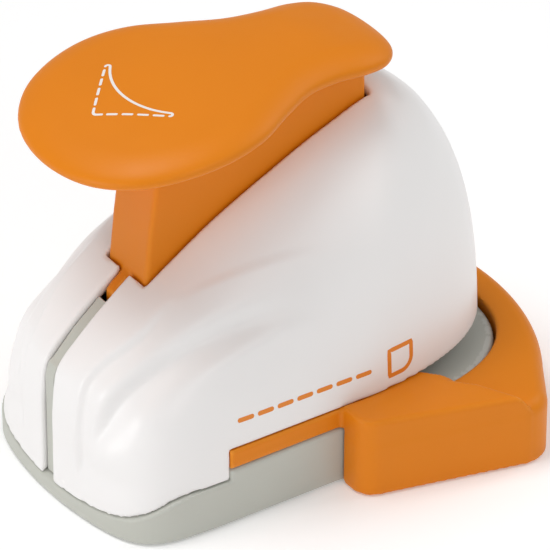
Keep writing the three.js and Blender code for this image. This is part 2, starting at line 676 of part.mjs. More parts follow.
function leverArm() {
  const top = (x) => headBottom(x) - 0.15;
  const noseBottom = WEAR_TOP + GAP;
  const side = rounded([
    [-38.5, 41, 1.5], [-27.5, 41, 2], [-24, 50.5, 6], [NOSE.x - 8, 50.5, 3],
    [NOSE.x - 4, noseBottom, 3.2], [NOSE.x + 4, noseBottom, 3.2], [NOSE.x + 9, 52, 4],
    [PIVOT.x - 6, PIVOT.z - 7.5, 6], [PIVOT.x + 2, PIVOT.z - 6, 5], [PIVOT.x + 6.2, PIVOT.z, 5],
    [PIVOT.x + 3, PIVOT.z + 6, 4], [19.3, 72, 0.8], [19.2, top(19.2)], [4, top(4)], [-15, top(-15)],
    [-33.6, top(-33.6)], [-37.2, 62, 30], [-38.5, 50, 20],
  ]);
  const web = sidePrism([[-43, 41], [-38, 41], [-38, 51.2], [-43, 47]], -ARM_WEB, ARM_WEB);
  const body = sidePrism(side, -ARM, ARM).add(web);
  const wall = 2.2;
  const roof = top(-34) - wall;
  const hollowFront = sidePrism([
    [-36.4, 30], [NOSE.x - 7, 30], [NOSE.x - 7, roof], [-31.6, roof], [-35, 62],
  ], -ARM + wall, ARM - wall);
  const hollowBack = sidePrism([[NOSE.x + 7, 40], [16, 40], [16, roof], [NOSE.x + 7, roof]],
    -ARM + wall, ARM - wall);
  const holes = HEAD_SCREWS.map(([x, y]) => post(x, y, 60, TALL, SCREW_HOLE, SMALL_ROUND))
    .reduce((sum, hole) => sum.add(hole));
  const bore = crossBar(PIVOT.x, PIVOT.z, -TALL, TALL, PIN + FIT);
  return body.subtract(hollowFront).subtract(hollowBack).subtract(holes).subtract(bore);
}

const HEAD_SCREWS = [[-22, 0], [9, 0]];

// The palm rest's outline as a closed loop that starts at the tip, with as many steps down each side.
function headOutline(steps) {
  const half = HEAD_OUTLINE.map(([x, y]) => new THREE.Vector3(x, y, 0));
  const other = HEAD_OUTLINE.slice(1, -1).reverse().map(([x, y]) => new THREE.Vector3(x, -y, 0));
  const curve = new THREE.CatmullRomCurve3([...half, ...other], true, 'centripetal');
  const first = curve.getPoints(2 * steps).slice(0, steps + 1).map(({ x, y }) => [x, Math.max(0, y)]);
  first[0] = [HEAD_TIP, 0];
  first[steps] = [HEAD_TAIL, 0];
  return [...first, ...first.slice(1, -1).reverse().map(([x, y]) => [x, -y])];
}

// The outline drawn in round the rim: turn runs from the underside at -90 degrees to the top at 90.
function headRing(outline, turn) {
  const pull = HEAD_EDGE * (1 - Math.cos(turn));
  return inset([...outline].reverse(), pull).reverse().map(([x, y]) => {
    const height = headBottom(x) + HEAD_THICK / 2 * (1 + Math.sin(turn));
    return [x, y, height];
  });
}

// Rows across the palm rest between the two sides of a ring, lifted in the middle by a crown.
function headRows(ring, crown) {
  const half = ring.length / 2;
  const rows = [];
  for (let i = 0; i <= half; i += 1) {
    const [x, y, z] = ring[i];
    const fullness = Math.min(1, y / (HEAD_EDGE * 1.5));
    rows.push([1, 0.5, 0, -0.5, -1].map((share) => [x, y * share, z + crown * fullness * (1 - share * share)]));
  }
  return rows;
}

function leverHead() {
  const outline = headOutline(30);
  const turns = [-90, -50, -20, 10, 40, 65, 90].map((turn) => THREE.MathUtils.degToRad(turn));
  const rings = turns.map((turn) => headRing(outline, turn));
  const top = rings[rings.length - 1];
  const corners = [
    ...patch([...rings].reverse().map((ring) => [...ring, ring[0]])),
    ...patch(headRows(top, HEAD_CROWN)),
    ...patch(headRows(rings[0], 0).reverse()),
  ];
  const holes = HEAD_SCREWS.map(([x, y]) => post(x, y, 0, headBottom(x) + 3.6, SCREW_HOLE, SMALL_ROUND));
  return solidOfCorners(corners).subtract(holes[0]).subtract(holes[1]);
}

// ---------- Assembly ----------
const MATERIALS = {
  grey: ['#b9bab2', 0.55, 0],
  white: ['#f1efee', 0.3, 0],
  orange: ['#dc842c', 0.5, 0],
  rubber: ['#3a3a3a', 0.9, 0],
  black: ['#5a5d60', 0.6, 0],
  steel: ['#b8bcc0', 0.3, 1],
  tool: ['#8d9196', 0.25, 1],
};

function material(name) {
  const [color, roughness, metalness] = MATERIALS[name];
  return new THREE.MeshStandardMaterial({ color, roughness, metalness });
}

function add(group, name, solid, finish) {
  const geometry = geometryOf(solid);
  geometry.computeVertexNormals();
  const mesh = new THREE.Mesh(geometry, material(finish));
  mesh.name = name;
  group.add(mesh);
}

function addScrews(group, name, places, z, reach, sense) {
  places.forEach((place, i) => add(group, `${name}_${i + 1}`, screw(place, z, reach, sense), 'steel'));
}

function buildFrame() {
  const frame = new THREE.Group();
  frame.name = 'frame';
  add(frame, 'base_shell', baseShell(), 'grey');
  add(frame, 'bottom_cover', bottomCover(), 'grey');
  FEET.forEach((place, i) => add(frame, `rubber_foot_${i + 1}`, rubberFoot(place), 'rubber'));
  addScrews(frame, 'cover_screw', COVER_SCREWS, COVER_SEAT - SCREW_HEAD_HEIGHT, 9, 1);
  addScrews(frame, 'chassis_screw', CHASSIS_SCREWS, FRONT_DECK - BASE_WALL - SCREW_HEAD_HEIGHT, 9, 1);
  addScrews(frame, 'housing_screw_front', HOUSING_FRONT_SCREWS, FRONT_SEAT - SCREW_HEAD_HEIGHT, 15, 1);
  addScrews(frame, 'housing_screw_rear', HOUSING_REAR_SCREWS, REAR_SEAT - SCREW_HEAD_HEIGHT, 11, 1);
  addScrews(frame, 'die_screw', DIE_SCREWS, FLANGE_TOP + SCREW_HEAD_HEIGHT, 18, -1);
  add(frame, 'housing', housing(), 'white');
  add(frame, 'front_rib', frontRib(), 'grey');
  add(frame, 'chassis', chassis(), 'black');
  add(frame, 'corner_guide', cornerGuide(), 'orange');
  add(frame, 'die_plate', diePlate(), 'tool');
  add(frame, 'stripper_plate', stripperPlate(), 'tool');
  add(frame, 'guide_block', guideBlock(), 'black');
  add(frame, 'pivot_pin', pivotPin(), 'steel');
  [-1, 1].forEach((side, i) => {
    add(frame, `pivot_bush_${i + 1}`, pivotBush(side), 'grey');
    add(frame, `pivot_clip_${i + 1}`, pivotClip(side), 'steel');
    add(frame, `spring_post_${i + 1}`, springPost(side), 'steel');
    add(frame, `return_spring_${i + 1}`, returnSpring(side), 'steel');
  });
  return frame;
}

function buildPunch() {
  const punch = new THREE.Group();
  punch.name = 'punch';
  add(punch, 'plunger', plunger(), 'black');
  add(punch, 'punch_cutter', punchCutter(), 'tool');
  add(punch, 'wear_plate', wearPlate(), 'steel');
  addScrews(punch, 'punch_screw', punchScrews(), PLUNGER_TOP - 0.2, PLUNGER_TOP - PLUNGER_BOTTOM + 3, -1);
  return punch;
}

function buildLever() {
  const lever = new THREE.Group();
  lever.name = 'lever';
  add(lever, 'lever_arm', leverArm(), 'orange');
  add(lever, 'lever_head', leverHead(), 'orange');
  addScrews(lever, 'head_screw', HEAD_SCREWS, headBottom(-34) - 4.1, 7, 1);
  return lever;
}

const rounder = new THREE.Group();
rounder.name = 'corner_rounder';
rounder.add(buildFrame(), buildPunch(), buildLever());

export default rounder;
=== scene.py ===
"""Looks for the lever corner rounder: moulded shells, palm rest and print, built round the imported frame.

Shapes are worked out in millimetres, in the frame's own axes (+X to the back, +Z up), and written to Blender
in metres. The moulded pieces are distance fields, meshed by surface nets, so that every edge has its own
moulded radius.
"""
import json
import math

import bpy
import numpy as np
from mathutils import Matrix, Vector


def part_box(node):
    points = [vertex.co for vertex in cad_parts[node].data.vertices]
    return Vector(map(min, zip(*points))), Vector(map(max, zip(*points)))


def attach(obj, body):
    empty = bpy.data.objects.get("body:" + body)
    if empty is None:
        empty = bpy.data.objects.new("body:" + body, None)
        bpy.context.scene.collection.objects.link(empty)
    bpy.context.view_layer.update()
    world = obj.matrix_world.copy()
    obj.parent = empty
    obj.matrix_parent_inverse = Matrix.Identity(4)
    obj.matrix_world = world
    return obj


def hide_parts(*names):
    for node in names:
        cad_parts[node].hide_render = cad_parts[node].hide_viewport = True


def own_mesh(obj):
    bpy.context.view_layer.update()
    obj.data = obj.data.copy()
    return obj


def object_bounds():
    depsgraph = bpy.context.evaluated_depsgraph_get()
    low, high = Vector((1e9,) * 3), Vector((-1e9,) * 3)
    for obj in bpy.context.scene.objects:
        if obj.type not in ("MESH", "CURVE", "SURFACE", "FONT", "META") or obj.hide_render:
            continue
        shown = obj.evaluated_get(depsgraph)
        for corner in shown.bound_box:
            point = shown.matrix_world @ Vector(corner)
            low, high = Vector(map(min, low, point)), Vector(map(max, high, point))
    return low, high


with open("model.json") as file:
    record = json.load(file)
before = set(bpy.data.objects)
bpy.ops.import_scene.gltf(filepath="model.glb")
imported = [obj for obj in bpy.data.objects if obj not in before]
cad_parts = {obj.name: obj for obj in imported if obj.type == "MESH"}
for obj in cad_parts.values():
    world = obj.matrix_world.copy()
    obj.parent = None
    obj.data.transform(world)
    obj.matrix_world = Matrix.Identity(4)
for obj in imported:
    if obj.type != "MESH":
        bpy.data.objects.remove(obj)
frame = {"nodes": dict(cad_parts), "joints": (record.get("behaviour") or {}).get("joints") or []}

MM = 0.001
CAD_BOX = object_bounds()


# ---------- Sizes, in millimetres, worked out from the frame ----------
def box_mm(node):
    """Lowest and highest corner of a CAD node, in millimetres."""
    low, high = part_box(node)
    return np.array(low) / MM, np.array(high) / MM


HOUSING_LOW, HOUSING_HIGH = box_mm("housing")
BASE_LOW, BASE_HIGH = box_mm("base_shell")
GUIDE_LOW, GUIDE_HIGH = box_mm("corner_guide")
HEAD_LOW, HEAD_HIGH = box_mm("lever_head")
ARM_LOW, ARM_HIGH = box_mm("lever_arm")
RIB_LOW, RIB_HIGH = box_mm("front_rib")
DIE_LOW, DIE_HIGH = box_mm("die_plate")

FRONT = BASE_LOW[0]
BACK = GUIDE_HIGH[0]
HALF_WIDTH = HOUSING_HIGH[1]
GAP = 0.3
SCREW_HOLE = 1.55
SCREW_HEAD = 2.3
BOSS = 3.0
# The spacing of the grids the moulded pieces are meshed on, and of the one for the small rib.
STEP = 0.6
FINE = 0.35

# Housing. Its shape fans out from a line across the object, at FAN_X on the table.
WALL = 2.6
FAN_X = -5.0
FRONT_BOW = 95.0
# How square the housing is across: the power of its outline, low over the back and high at the front.
BACK_POWER = 2.4
FRONT_POWER = 9.0
NARROW_SLOT = RIB_HIGH[1] + 0.25
WIDE_SLOT = ARM_HIGH[1] + 0.4
ARM_FRONT = ARM_LOW[0] + 4.5
WIDE_SLOT_FRONT = ARM_FRONT - 0.4
WIDE_SLOT_BACK = 20.2
WIDE_SLOT_FLOOR = 30.0
STEP_X = -33.2
SKIRT = 19.4
# The line over the crown from the front foot to the back foot, as x and z.
CROWN = [
    (FRONT, 0), (-59.9, 14), (-59.6, 26), (-57.6, 34.2), (-52, 40.6), (-38.6, 51.4), (-24, 61.1), (-8, 69.4),
    (8, 76.6), (22, 80.8), (32, 76.4), (39, 67.6), (44.5, 55.2), (47.8, 40), (49.2, 22), (49.4, 0),
]

# Base
UNDERSIDE = BASE_LOW[2]
DECK = BASE_HIGH[2]
BASE_WALL = 2.4
FRONT_DECK = 11.4
SEAM_FRONT = 4.0
SEAM_SLOPE = 0.5
BASE_MIDDLE = 5.0
BASE_REACH = 45.6
BASE_HALF_WIDTH = BASE_HIGH[1]
BASE_POWER = 2.8
COVER_TOP = 3.2
COVER_HOLE_TOP = FRONT_DECK - 1.4
# The heads of the housing's front screws bear on the ends of their bosses at this height.
FRONT_SEAT = 6.5

# Corner guide
STRIP_BOTTOM = 14.6
STRIP_TOP = 19.1
WING_EDGE = -3.9
# The wings' tops fall towards the back, from this height at this x, and dive this far below the ring's top.
WING_TOP = 20.15
WING_TOP_X = -10.0
WING_FALL = 0.0379
WING_DIVE = 0.6
WING_UNDERSIDE = 14.9
RING_TOP = 15.8
RING_EDGE = 3.5
GUIDE_WALL = 2.6
VEE_X = -10.3
VEE_SPAN = 38.9
RING_CENTRE = -2.6
CUT_LEG = 18.0

# Lever
HEAD_EDGE = 7.4
HEAD_THICK = 6.0
HEAD_CROWN = 1.3
# The underside's arch: where it is highest, how high, and its radius.
HEAD_ARCH = (-5.0, 89.2, 208.0)
# Half of the palm rest's outline, from the tip to the tail, as x and y.
HEAD_OUTLINE = [
    (HEAD_LOW[0], 0), (-56.3, 13.8), (-49.5, 23), (-40.6, 27.7), (-30.6, 29.2), (-20.7, 27.3), (-10.8, 22),
    (-1.8, 17.6), (6.1, 16.3), (14.1, 16.3), (20, 14.7), (24.4, 9.8), (26, 0),
]
ARM_WALL = 2.2
ARM_WEB = 1.5
ARM_FOOT = 41.0
ARM_TO_HEAD = 0.15
NOSE_X = -4.0
NOSE_BOTTOM = 45.1
PIVOT_BORE = 2.9


# ---------- Curves and outlines ----------
def spline(points, closed, count):
    """A centripetal Catmull-Rom curve through the points, as an array of evenly shared steps."""
    points = np.array(points, float)
    if closed:
        padded = np.vstack([points[-1], points, points[0], points[1]])
    else:
        padded = np.vstack([2 * points[0] - points[1], points, 2 * points[-1] - points[-2]])
    spans = len(padded) - 3
    result = []
    for share in np.linspace(0, spans, count, endpoint=not closed):
        start = min(int(share), spans - 1)
        a, b, c, d = padded[start:start + 4]
        knots = np.cumsum([0] + [np.linalg.norm(q - p) ** 0.5 for p, q in ((a, b), (b, c), (c, d))])
        t = knots[1] + (knots[2] - knots[1]) * (share - start)

        def between(p, q, low, high):
            return p + (q - p) * (t - low) / (high - low)

        ab = between(a, b, knots[0], knots[1])
        bc = between(b, c, knots[1], knots[2])
        cd = between(c, d, knots[2], knots[3])
        first, second = between(ab, bc, knots[0], knots[2]), between(bc, cd, knots[1], knots[3])
        result.append(between(first, second, knots[1], knots[2]))
    return np.array(result)


def rounded(corners, step=0.15):
    """Rounds the corners of a polygon given as (a, b) or (a, b, radius)."""
    points = []
    for i, corner in enumerate(corners):
        here = np.array(corner[:2], float)
        if len(corner) < 3:
            points.append(here)
            continue
        radius = corner[2]
        inward = np.array(corners[i - 1][:2], float) - here
        outward = np.array(corners[(i + 1) % len(corners)][:2], float) - here
        inward /= np.linalg.norm(inward)
        outward /= np.linalg.norm(outward)
        half = math.acos(float(np.clip(inward @ outward, -1, 1))) / 2
        bisector = (inward + outward) / np.linalg.norm(inward + outward)
        centre = here + bisector * radius / math.sin(half)
        spoke = here + inward * radius / math.tan(half) - centre
        turn = math.pi - 2 * half
        sense = math.copysign(1, outward[0] * inward[1] - outward[1] * inward[0])
        for angle in np.linspace(0, sense * turn, max(3, math.ceil(turn / step))):
            cosine, sine = math.cos(angle), math.sin(angle)
            points.append(centre + [spoke[0] * cosine - spoke[1] * sine, spoke[0] * sine + spoke[1] * cosine])
    return np.array(points)


def arc_line(centre, radius, start, end, count=48):
    """Points along an arc from one angle to another."""
    return [(centre[0] + radius * math.cos(a), centre[1] + radius * math.sin(a))
            for a in np.linspace(start, end, count)]


def mirrored(half):
    """Half an outline on the +Y side, from front to back, made whole by its mirror image."""
    half = np.array(half, float)
    other = half[np.abs(half[:, 1]) > 1e-6] * [1, -1]
    return np.vstack([half, other[::-1]])


def distance_to(outline, a, b):
    """The distance to a closed outline, negative inside it."""
    starts = np.array(outline, float)
    ends = np.roll(starts, -1, axis=0)
    nearest = np.full(a.shape, 1e9)
    inside = np.zeros(a.shape, bool)
    for (ax, ay), (bx, by) in zip(starts, ends):
        dx, dy = bx - ax, by - ay
        length = max(dx * dx + dy * dy, 1e-12)
        share = np.clip(((a - ax) * dx + (b - ay) * dy) / length, 0, 1)
        nearest = np.minimum(nearest, (a - ax - share * dx) ** 2 + (b - ay - share * dy) ** 2)
        if ay != by:
            inside ^= ((ay > b) != (by > b)) & (a < ax + dx * (b - ay) / dy)
    return np.sqrt(nearest) * np.where(inside, -1, 1)


def outline_distance(outline, spacing=0.4):
    """A function of two coordinates that looks up the distance to a closed outline in a table of it."""
    outline = np.array(outline, float)
    margin = 5.0
    origin = outline.min(axis=0) - margin
    sizes = np.ceil((outline.max(axis=0) + margin - origin) / spacing).astype(int) + 1
    axes = [start + spacing * np.arange(size) for start, size in zip(origin, sizes)]
    table = distance_to(outline, *np.meshgrid(*axes, indexing="ij"))

    def distance(a, b):
        a, b = np.broadcast_arrays(a, b)
        column = np.clip((a - origin[0]) / spacing, 0, sizes[0] - 1.001)
        row = np.clip((b - origin[1]) / spacing, 0, sizes[1] - 1.001)
        i, j = column.astype(int), row.astype(int)
        u, v = column - i, row - j
        near = table[i, j] * (1 - u) + table[i + 1, j] * u
        far = table[i, j + 1] * (1 - u) + table[i + 1, j + 1] * u
        return near * (1 - v) + far * v

    return distance


# ---------- Distance fields: negative inside, with moulded radii where they meet ----------
def meet(a, b, radius=0.0):
    """What is inside both, with an outside corner of that radius."""
    if radius == 0:
        return np.maximum(a, b)
    flat = np.minimum(-radius, np.maximum(a, b))
    return flat + np.hypot(np.maximum(a + radius, 0), np.maximum(b + radius, 0))


def join(a, b, radius=0.0):
    """What is inside either, with an inside corner of that radius."""
    return -meet(-a, -b, radius)


def cut(a, b, radius=0.0):
    """What is inside a and outside b, with edges of that radius."""
    return meet(a, -b, radius)


def slab(value, low, high):
    """Between two levels."""
    return np.maximum(low - value, value - high)


def post(x, y, place, radius):
    """An upright round post without ends."""
    return np.hypot(x - place[0], y - place[1]) - radius


def smooth(low, high, value):
    """Rises softly from 0 at low to 1 at high."""
    share = np.clip((value - low) / (high - low), 0, 1)
    return share * share * (3 - 2 * share)


def bump(value, middle, width):
    """1 at the middle, falling softly to 0 on both sides."""
    return np.exp(-((value - middle) / width) ** 2)


def surface_net(field, low, high, step):
    """Corners and quads of the surface where the field is zero, by surface nets, drawn onto the surface."""
    axes = [np.arange(a - 2 * step, b + 2.5 * step, step) for a, b in zip(low, high)]
    values = np.ascontiguousarray(field(*np.meshgrid(*axes, indexing="ij", sparse=True)))
    cells = tuple(n - 1 for n in values.shape)
    total = np.zeros(cells + (3,), np.float32)
    count = np.zeros(cells, np.int8)
    crossings = []
    for axis in range(3):
        near = np.take(values, range(values.shape[axis] - 1), axis)
        far = np.take(values, range(1, values.shape[axis]), axis)
        crosses = (near < 0) != (far < 0)
        share = np.where(crosses, near / np.where(crosses, near - far, 1), 0).astype(np.float32)
        crossings.append((crosses, near < 0))
        u, v = (axis + 1) % 3, (axis + 2) % 3
        for du in (0, 1):
            for dv in (0, 1):
                window = [slice(None)] * 3
                window[u] = slice(du, du + cells[u])
                window[v] = slice(dv, dv + cells[v])
                hit = crosses[tuple(window)]
                count += hit
                total[..., axis] += share[tuple(window)]
                total[..., u] += du * hit
                total[..., v] += dv * hit
    active = np.argwhere(count > 0)
    number = np.full(cells, -1, np.int64)
    number[tuple(active.T)] = np.arange(len(active))
    mean = total[tuple(active.T)] / count[tuple(active.T)][:, None]
    points = np.array([axis[0] for axis in axes]) + (active + mean) * step
    quads = []
    for axis, (crosses, leaving) in enumerate(crossings):
        u, v = (axis + 1) % 3, (axis + 2) % 3
        edges = np.argwhere(crosses)
        outward = leaving[tuple(edges.T)]
        corners = []
        for du, dv in ((-1, -1), (0, -1), (0, 0), (-1, 0)):
            cell = edges.copy()
            cell[:, u] += du
            cell[:, v] += dv
            corners.append(number[tuple(cell.T)])
        quad = np.stack(corners, axis=1)
        quad[~outward] = quad[~outward][:, ::-1]
        quads.append(quad)
    return settle(field, points, step), np.vstack(quads)


def settle(field, points, step):
    """Moves the points onto the surface along the field's slope, by no more than half a step."""
    small = 0.02
    slope = np.stack([
        (field(*(points + offset).T) - field(*(points - offset).T)) / (2 * small)
        for offset in np.eye(3) * small
    ], axis=1)
    slope /= np.maximum((slope ** 2).sum(axis=1), 0.05)[:, None]
    home = points.copy()
    for _ in range(2):
        points = points - slope * field(*points.T)[:, None]
        points = home + np.clip(points - home, -step / 2, step / 2)
    return points


# ---------- Blender objects ----------
def mesh_object(name, points, faces, material, smooth_angle=40):
    """A mesh object from millimetre points and a list of faces, smooth except at sharp edges."""
    mesh = bpy.data.meshes.new(name)
    places = (np.asarray(points) * MM).tolist()
    mesh.from_pydata(places, [], faces.tolist() if isinstance(faces, np.ndarray) else faces)
    mesh.validate()
    mesh.shade_smooth()
    mesh.set_sharp_from_angle(angle=math.radians(smooth_angle))
    mesh.materials.append(material)
    piece = bpy.data.objects.new(name, mesh)
    bpy.context.scene.collection.objects.link(piece)
    return piece


def field_piece(node, field, low, high, step, material, body):
    """A moulded piece from a distance field, standing for one CAD node and riding on its body."""
    points, quads = surface_net(field, low, high, step)
    piece = mesh_object(node + "_moulded", points, quads, material, 60)
    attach(piece, body)
    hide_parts(node)
    return piece


# ---------- Housing ----------
CROWN_CURVE = spline(CROWN, False, 1500)
CROWN_ANGLE = np.arctan2(CROWN_CURVE[:, 1], CROWN_CURVE[:, 0] - FAN_X)
CROWN_REACH = np.hypot(CROWN_CURVE[:, 1], CROWN_CURVE[:, 0] - FAN_X)
CROWN_ORDER = np.argsort(CROWN_ANGLE)


def crown_radius(up):
    """How far the crown line lies from the fan centre, at an angle up from the back."""
    return np.interp(up, CROWN_ANGLE[CROWN_ORDER], CROWN_REACH[CROWN_ORDER])


def hood_shoulder(up, across):
    """1 outside the hood, the raised strip on each side of the slot that drops away at its shoulder."""
    shoulder = 18.5 + 6.5 * (1 - smooth(130, 147, up))
    beside = smooth(shoulder - 0.6, shoulder + 2.6, across) * (1 - smooth(36, 56, across))
    return beside * smooth(120, 134, up) * (1 - smooth(163, 171, up))


def side_hollow(up, below, slow_side):
    """1 in the hollow beside the hood: steep on its upper side, and running out slowly below."""
    hollow = np.where(below < 0, bump(below, 0, 2.8), bump(below, 0, slow_side))
    return hollow * smooth(94, 114, up) * (1 - smooth(146, 162, up))


def side_fold(up, across):
    """1 in the flat above the fold that runs down the side towards the back."""
    above = 31.4 + 0.49 * (116 - up) - across
    fold = smooth(0, 4, above) * (1 - smooth(6, 24, above))
    return fold * smooth(66, 84, up) * (1 - smooth(110, 124, up))


def sculpture(up, across):
    """How far the moulded features move the housing's surface outwards.

    Both angles are seen from the fan line: up goes from the back over the crown to the front, and across goes
    from the middle plane to the side. All the places and widths here are in degrees.
    """
    up, across = np.degrees(up), np.degrees(across)
    below = across - (30 + 0.36 * (153 - up))
    slow_side = 3.5 + 0.14 * np.maximum(up - 105, 0)
    rib = bump(below, slow_side + 1.5, 2.6) * smooth(88, 98, up) * (1 - smooth(124, 138, up))
    bulge = bump(up, 161, 5.5) * bump(across, 31, 9)
    crease = bump(up, 148, 4) * (1 - smooth(8, 17, across))
    raised = 0.8 * bulge + 1.5 * rib + 0.4 * crease
    hollow = side_hollow(up, below, slow_side)
    return raised - 0.6 * side_fold(up, across) - 1.3 * hood_shoulder(up, across) - 3.1 * hollow


def housing_level(x, y, z):
    """Zero on the housing's outside: a rounded box whose side view is the crown line."""
    up = np.arctan2(np.maximum(z, 0.01), x - FAN_X)
    reach = np.hypot(x - FAN_X, z)
    power = BACK_POWER + (FRONT_POWER - BACK_POWER) * (up / math.pi) ** 5.5
    crown = crown_radius(up)
    bow = smooth(2.2, 2.7, up) * y * y / (2 * FRONT_BOW * crown)
    side = np.abs(y) / HALF_WIDTH
    radius = (crown + sculpture(up, np.arctan2(side, reach / crown))) * (1 - bow)
    return (side ** power + (reach / radius) ** power) ** (1 / power) - 1


def scaled(level, x, y, z):
    """Turns a level function into a distance by its own slope."""
    small = 0.05
    here = level(x, y, z)
    beside = level(x + small, y, z), level(x, y + small, z), level(x, y, z + small)
    slope = np.sqrt(sum(((there - here) / small) ** 2 for there in beside))
    return here / np.maximum(slope, 1e-4)


def housing_distance(x, y, z):
    """The distance to the housing's outside."""
    return scaled(housing_level, x, y, z)


def front_top(x, z, lift):
    """Below the front seam: a slope up from the tip, then level."""
    slope = (z - lift - SEAM_FRONT - SEAM_SLOPE * (x - FRONT)) / math.hypot(1, SEAM_SLOPE)
    return meet(slope, z - lift - FRONT_DECK, 1.5)


def screw_places(prefix):
    """Where the screws of a group stand, as x and y."""
    boxes = [box_mm(node) for node in sorted(frame["nodes"]) if prefix in node]
    return [(low + high)[:2] / 2 for low, high in boxes]


HOUSING_FRONT_SCREWS = screw_places("housing_screw_front")
HOUSING_REAR_SCREWS = screw_places("housing_screw_rear")
DIE_SCREWS = screw_places("die_screw")
COVER_SCREWS = screw_places("cover_screw")
CHASSIS_SCREWS = screw_places("chassis_screw")
HEAD_SCREWS = screw_places("head_screw")
# The housing's screw bosses: where they stand, the height of their feet and how high their holes go.
HOUSING_BOSSES = [(place, FRONT_DECK + 0.5, 21) for place in HOUSING_FRONT_SCREWS]
HOUSING_BOSSES += [(place, 22.8, 32) for place in HOUSING_REAR_SCREWS]


def housing_field(x, y, z):
    """The hollow shell with its screw bosses, open below the seam, with the slot for lever and rib."""
    outside = housing_distance(x, y, z)
    body = cut(outside, outside + WALL)
    for place, foot, pilot in HOUSING_BOSSES:
        boss = meet(meet(post(x, y, place, BOSS), foot - z), outside + WALL / 2)
        body = join(body, boss, 0.6)
        body = cut(body, meet(post(x, y, place, SCREW_HOLE), z - pilot), 0.2)
    skirt = join(meet(-front_top(x, z, GAP), x - STEP_X, 0.5), SKIRT - z, 0.5)
    body = meet(body, skirt, 0.25)
    narrow = meet(np.abs(y) - NARROW_SLOT, x - WIDE_SLOT_FRONT - 3)
    wide = meet(slab(x, WIDE_SLOT_FRONT, WIDE_SLOT_BACK), np.abs(y) - WIDE_SLOT, 0.8)
    wide = meet(wide, WIDE_SLOT_FLOOR - z)
    return cut(body, join(narrow, wide), 0.7)


# ---------- Base ----------
def on_superellipse(angle, power):
    """The place at that angle on a rounded square that reaches 1 along both axes."""
    size = (math.sin(angle) ** power + abs(math.cos(angle)) ** power) ** (1 / power)
    return math.cos(angle) / size, math.sin(angle) / size


def base_outline():
    """Seen from above: square at the front like the housing, with the same bow, and round at the back."""
    half = []
    depth = FAN_X - FRONT
    for angle in np.linspace(0, math.pi / 2, 60):
        along, across = on_superellipse(angle, FRONT_POWER)
        y = HALF_WIDTH * across
        half.append((FAN_X - depth * along * (1 - y * y / (2 * FRONT_BOW * depth)), y))
    for angle in np.linspace(math.pi / 2, 0, 60):
        along, across = on_superellipse(angle, BASE_POWER)
        half.append((BASE_MIDDLE + BASE_REACH * along, BASE_HALF_WIDTH * across))
    return mirrored(half)


base_distance = outline_distance(base_outline())


def die_space(x, y, gap):
    """The upright space the die and stripper plates take, grown by the gap."""
    return meet(slab(x, DIE_LOW[0] - gap, DIE_HIGH[0] + gap), np.abs(y) - DIE_HIGH[1] - gap)


def base_field(x, y, z):
    """The tray: a hollow shell open below, with screw bosses, the die's pocket and the chips' chute."""
    outline = base_distance(x, y)
    front = front_top(x, z, 0)
    deck = meet(z - DECK, STEP_X - x, 0.4)
    body = join(meet(outline, front, 0.25), meet(outline, deck, 0.9))
    body = meet(body, UNDERSIDE - z, 0.5)
    cavity = meet(outline + BASE_WALL, join(front, deck) + BASE_WALL, 1)
    for place in [*COVER_SCREWS, *DIE_SCREWS]:
        cavity = cut(cavity, meet(post(x, y, place, BOSS), COVER_TOP + 0.2 - z), 0.5)
    for place in HOUSING_FRONT_SCREWS:
        cavity = cut(cavity, meet(post(x, y, place, BOSS), FRONT_SEAT - z), 0.5)
    body = cut(body, cavity, 0.3)
    for place in [*DIE_SCREWS, *HOUSING_FRONT_SCREWS, *CHASSIS_SCREWS]:
        body = cut(body, meet(post(x, y, place, SCREW_HOLE), z - DECK - 1), 0.2)
    for place in COVER_SCREWS:
        body = cut(body, meet(post(x, y, place, SCREW_HOLE), z - COVER_HOLE_TOP), 0.2)
    for place in HOUSING_FRONT_SCREWS:
        body = cut(body, meet(post(x, y, place, SCREW_HEAD + GAP), z - FRONT_SEAT), 0.1)
    body = cut(body, meet(die_space(x, y, GAP), DIE_LOW[2] - z), 0.3)
    chute_front, chute_back, chute_half_width, chute_floor = -15, 7, 17, 5
    chute = meet(slab(x, chute_front, chute_back), np.abs(y) - chute_half_width, 2)
    return cut(body, meet(chute, chute_floor - z), 0.3)


# ---------- Corner guide ----------
def guide_outline():
    """Seen from above: straight wings beside the housing, and a round ring behind it."""
    arc = arc_line((RING_CENTRE, 0), BACK - RING_CENTRE, 0.613, 0, 40)
    wing = rounded([(WING_EDGE, 20), (WING_EDGE, 41, 5), (38.6, 51.8, 7.5), arc[0]])[1:-1]
    return mirrored([(WING_EDGE, 0), *wing, *arc])


def vee_outline():
    """The paper's space, between the two guide walls that meet in a right angle."""
    outer, beyond = 60, BACK + 20
    wall_end = VEE_X + VEE_SPAN
    return mirrored([
        (VEE_X, 0), (wall_end, VEE_SPAN), (wall_end + 11.3, outer), (beyond, outer), (beyond, 0),
    ])


guide_distance = outline_distance(guide_outline())
vee_distance = outline_distance(vee_outline())


def cut_outline():
    """The sliver that is cut away: two straight legs and a round side between their ends."""
    side = CUT_LEG / math.sqrt(2)
    arc = arc_line((VEE_X + CUT_LEG * math.sqrt(2), 0), CUT_LEG, 0.75 * math.pi, 1.25 * math.pi, 24)
    return [*arc, (VEE_X + side - 0.6, -side - 1.2), (VEE_X - 1.2, 0), (VEE_X + side - 0.6, side + 1.2)]


cut_distance = outline_distance(cut_outline())


def guide_wings(x, z, outline, vee, ring_bore):
    """The solid wings. Beyond the housing their tops fall away to just below the ring's."""
    top = WING_TOP - WING_FALL * (x - WING_TOP_X)
    fall = np.maximum(1 - smooth(0, 2.6, vee), 0.5 * smooth(31, 40, x)) * smooth(-1, 6, ring_bore)
    level = z - top + (top - RING_TOP + WING_DIVE) * fall
    return cut(meet(outline, level, 1.0), vee, 0.5)


